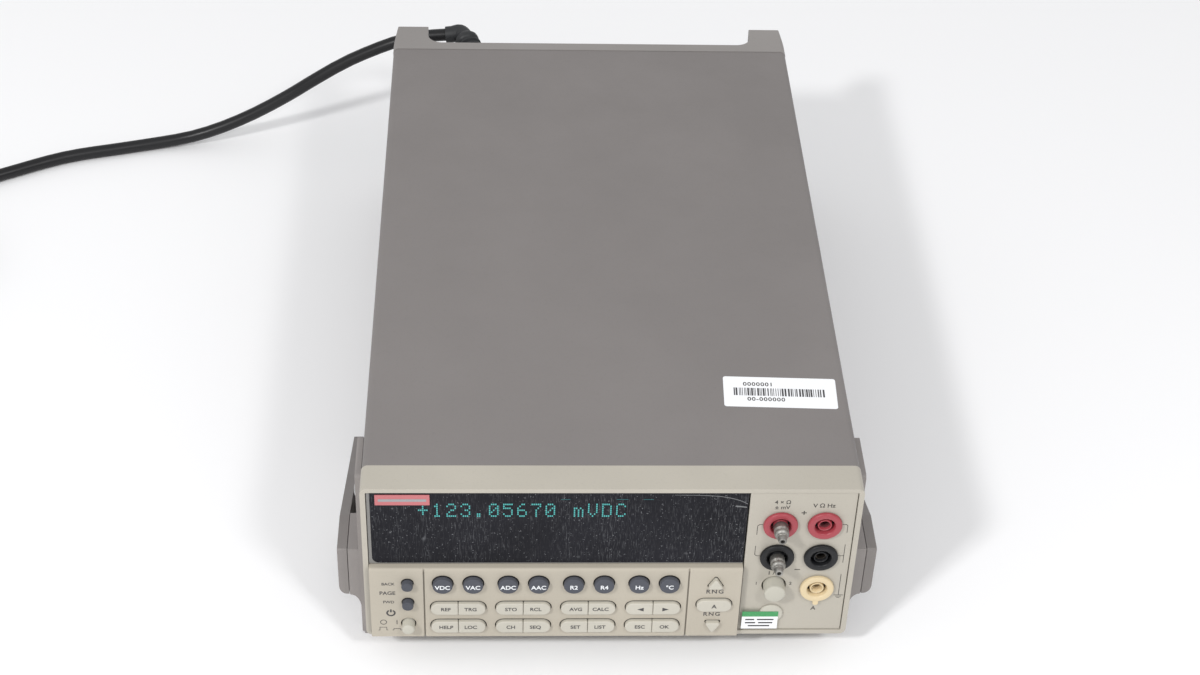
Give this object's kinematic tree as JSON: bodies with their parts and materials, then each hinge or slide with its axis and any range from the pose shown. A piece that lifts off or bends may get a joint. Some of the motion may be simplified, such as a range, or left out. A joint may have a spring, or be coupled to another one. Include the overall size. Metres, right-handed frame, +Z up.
{
  "type": "bench multimeter",
  "caption": "Half-rack bench multimeter with a dark readout window, keys that travel, front test jacks, a swinging U handle and a mains cord.",
  "frame": {"origin": "on the standing surface, under the middle of the instrument without its cord", "axes": "+X to the right seen from the front, -Y towards the front panel, +Z up"},
  "size_m": [0.567, 0.4212, 0.103],
  "materials": {
    "bezel_plastic": "fine textured moulding",
    "key_plastic": "smooth matt",
    "dark_key_plastic": "smooth matt",
    "window_film": "tinted film, dusty",
    "circuit_board": "solder mask",
    "cover_paint": "fine textured paint",
    "sheet_steel": "plated",
    "transformer_iron": "varnished",
    "black_plastic": "satin",
    "rear_plastic": "fine textured moulding",
    "handle_plastic": "fine textured moulding",
    "foot_rubber": "matt",
    "red_plastic": "satin",
    "cream_plastic": "satin",
    "pin_metal": "worn nickel",
    "cord_sheath": "satin vinyl"
  },
  "bodies": {
    "instrument": {"front_bezel": "bezel_plastic", "key_panel": "bezel_plastic", "display_window": "window_film", "terminal_panel": "bezel_plastic", "display_board": "circuit_board", "case_cover": "cover_paint", "chassis": "sheet_steel", "main_board": "circuit_board", "power_transformer": "transformer_iron", "power_inlet": "black_plastic", "rear_bezel": "rear_plastic", "mounting_ear_left": "handle_plastic", "mounting_ear_right": "handle_plastic", "rear_foot_left": "foot_rubber", "rear_foot_right": "foot_rubber", "sense_high_jack": "red_plastic", "sense_low_jack": "black_plastic", "input_high_jack": "red_plastic", "input_low_jack": "black_plastic", "sense_high_pin": "pin_metal", "sense_low_pin": "pin_metal", "calibration_cap": "key_plastic", "cord_connector": "cord_sheath", "power_cord": "cord_sheath", "cord_coil": "cord_sheath", "cord_tail": "cord_sheath", "mains_plug": "cord_sheath"},
    "handle": {"handle": "handle_plastic"},
    "amps_fuse_carrier": {"amps_jack": "cream_plastic"},
    "dc_volts_key": {"dc_volts_key": "dark_key_plastic"},
    "ac_volts_key": {"ac_volts_key": "dark_key_plastic"},
    "dc_current_key": {"dc_current_key": "dark_key_plastic"},
    "ac_current_key": {"ac_current_key": "dark_key_plastic"},
    "two_wire_key": {"two_wire_key": "dark_key_plastic"},
    "four_wire_key": {"four_wire_key": "dark_key_plastic"},
    "frequency_key": {"frequency_key": "dark_key_plastic"},
    "temperature_key": {"temperature_key": "dark_key_plastic"},
    "relative_key": {"relative_key": "key_plastic"},
    "trigger_key": {"trigger_key": "key_plastic"},
    "store_key": {"store_key": "key_plastic"},
    "recall_key": {"recall_key": "key_plastic"},
    "filter_key": {"filter_key": "key_plastic"},
    "math_key": {"math_key": "key_plastic"},
    "cursor_left_key": {"cursor_left_key": "key_plastic"},
    "cursor_right_key": {"cursor_right_key": "key_plastic"},
    "info_key": {"info_key": "key_plastic"},
    "local_key": {"local_key": "key_plastic"},
    "channel_key": {"channel_key": "key_plastic"},
    "scan_key": {"scan_key": "key_plastic"},
    "configure_key": {"configure_key": "key_plastic"},
    "menu_key": {"menu_key": "key_plastic"},
    "exit_key": {"exit_key": "key_plastic"},
    "enter_key": {"enter_key": "key_plastic"},
    "range_up_key": {"range_up_key": "key_plastic"},
    "auto_range_key": {"auto_range_key": "key_plastic"},
    "range_down_key": {"range_down_key": "key_plastic"},
    "previous_display_key": {"previous_display_key": "dark_key_plastic"},
    "next_display_key": {"next_display_key": "dark_key_plastic"},
    "power_button": {"power_button": "key_plastic"},
    "inputs_button": {"inputs_button": "key_plastic"}
  },
  "joints": [
    {"name": "handle_swing", "type": "hinge", "parent": "instrument", "child": "handle", "pos_m": [0, -0.152, 0.039], "axis": [-1, 0, 0], "range_deg": [0, 248]},
    {"name": "amps_jack_turn", "type": "hinge", "parent": "instrument", "child": "amps_fuse_carrier", "pos_m": [0.0912, -0.1797, 0.0438], "axis": [0, -1, 0], "range_deg": [0, 90]},
    {"name": "dc_volts_key_press", "type": "slide", "parent": "instrument", "child": "dc_volts_key", "axis": [0, 1, 0], "range_m": [0, 0.001], "stiffness_N_per_m": 1200},
    {"name": "ac_volts_key_press", "type": "slide", "parent": "instrument", "child": "ac_volts_key", "axis": [0, 1, 0], "range_m": [0, 0.001], "stiffness_N_per_m": 1200},
    {"name": "dc_current_key_press", "type": "slide", "parent": "instrument", "child": "dc_current_key", "axis": [0, 1, 0], "range_m": [0, 0.001], "stiffness_N_per_m": 1200},
    {"name": "ac_current_key_press", "type": "slide", "parent": "instrument", "child": "ac_current_key", "axis": [0, 1, 0], "range_m": [0, 0.001], "stiffness_N_per_m": 1200},
    {"name": "two_wire_key_press", "type": "slide", "parent": "instrument", "child": "two_wire_key", "axis": [0, 1, 0], "range_m": [0, 0.001], "stiffness_N_per_m": 1200},
    {"name": "four_wire_key_press", "type": "slide", "parent": "instrument", "child": "four_wire_key", "axis": [0, 1, 0], "range_m": [0, 0.001], "stiffness_N_per_m": 1200},
    {"name": "frequency_key_press", "type": "slide", "parent": "instrument", "child": "frequency_key", "axis": [0, 1, 0], "range_m": [0, 0.001], "stiffness_N_per_m": 1200},
    {"name": "temperature_key_press", "type": "slide", "parent": "instrument", "child": "temperature_key", "axis": [0, 1, 0], "range_m": [0, 0.001], "stiffness_N_per_m": 1200},
    {"name": "relative_key_press", "type": "slide", "parent": "instrument", "child": "relative_key", "axis": [0, 1, 0], "range_m": [0, 0.0009], "stiffness_N_per_m": 1200},
    {"name": "trigger_key_press", "type": "slide", "parent": "instrument", "child": "trigger_key", "axis": [0, 1, 0], "range_m": [0, 0.0009], "stiffness_N_per_m": 1200},
    {"name": "store_key_press", "type": "slide", "parent": "instrument", "child": "store_key", "axis": [0, 1, 0], "range_m": [0, 0.0009], "stiffness_N_per_m": 1200},
    {"name": "recall_key_press", "type": "slide", "parent": "instrument", "child": "recall_key", "axis": [0, 1, 0], "range_m": [0, 0.0009], "stiffness_N_per_m": 1200},
    {"name": "filter_key_press", "type": "slide", "parent": "instrument", "child": "filter_key", "axis": [0, 1, 0], "range_m": [0, 0.0009], "stiffness_N_per_m": 1200},
    {"name": "math_key_press", "type": "slide", "parent": "instrument", "child": "math_key", "axis": [0, 1, 0], "range_m": [0, 0.0009], "stiffness_N_per_m": 1200},
    {"name": "cursor_left_key_press", "type": "slide", "parent": "instrument", "child": "cursor_left_key", "axis": [0, 1, 0], "range_m": [0, 0.0009], "stiffness_N_per_m": 1200},
    {"name": "cursor_right_key_press", "type": "slide", "parent": "instrument", "child": "cursor_right_key", "axis": [0, 1, 0], "range_m": [0, 0.0009], "stiffness_N_per_m": 1200},
    {"name": "info_key_press", "type": "slide", "parent": "instrument", "child": "info_key", "axis": [0, 1, 0], "range_m": [0, 0.0009], "stiffness_N_per_m": 1200},
    {"name": "local_key_press", "type": "slide", "parent": "instrument", "child": "local_key", "axis": [0, 1, 0], "range_m": [0, 0.0009], "stiffness_N_per_m": 1200},
    {"name": "channel_key_press", "type": "slide", "parent": "instrument", "child": "channel_key", "axis": [0, 1, 0], "range_m": [0, 0.0009], "stiffness_N_per_m": 1200},
    {"name": "scan_key_press", "type": "slide", "parent": "instrument", "child": "scan_key", "axis": [0, 1, 0], "range_m": [0, 0.0009], "stiffness_N_per_m": 1200},
    {"name": "configure_key_press", "type": "slide", "parent": "instrument", "child": "configure_key", "axis": [0, 1, 0], "range_m": [0, 0.0009], "stiffness_N_per_m": 1200},
    {"name": "menu_key_press", "type": "slide", "parent": "instrument", "child": "menu_key", "axis": [0, 1, 0], "range_m": [0, 0.0009], "stiffness_N_per_m": 1200},
    {"name": "exit_key_press", "type": "slide", "parent": "instrument", "child": "exit_key", "axis": [0, 1, 0], "range_m": [0, 0.0009], "stiffness_N_per_m": 1200},
    {"name": "enter_key_press", "type": "slide", "parent": "instrument", "child": "enter_key", "axis": [0, 1, 0], "range_m": [0, 0.0009], "stiffness_N_per_m": 1200},
    {"name": "range_up_key_press", "type": "slide", "parent": "instrument", "child": "range_up_key", "axis": [0, 1, 0], "range_m": [0, 0.0009], "stiffness_N_per_m": 1200},
    {"name": "auto_range_key_press", "type": "slide", "parent": "instrument", "child": "auto_range_key", "axis": [0, 1, 0], "range_m": [0, 0.0009], "stiffness_N_per_m": 1200},
    {"name": "range_down_key_press", "type": "slide", "parent": "instrument", "child": "range_down_key", "axis": [0, 1, 0], "range_m": [0, 0.0009], "stiffness_N_per_m": 1200},
    {"name": "previous_display_key_press", "type": "slide", "parent": "instrument", "child": "previous_display_key", "axis": [0, 1, 0], "range_m": [0, 0.0008], "stiffness_N_per_m": 1200},
    {"name": "next_display_key_press", "type": "slide", "parent": "instrument", "child": "next_display_key", "axis": [0, 1, 0], "range_m": [0, 0.0008], "stiffness_N_per_m": 1200},
    {"name": "power_button_press", "type": "slide", "parent": "instrument", "child": "power_button", "axis": [0, 1, 0], "range_m": [0, 0.003], "stiffness_N_per_m": 900},
    {"name": "inputs_button_press", "type": "slide", "parent": "instrument", "child": "inputs_button", "axis": [0, 1, 0], "range_m": [0, 0.003], "stiffness_N_per_m": 900}
  ]
}
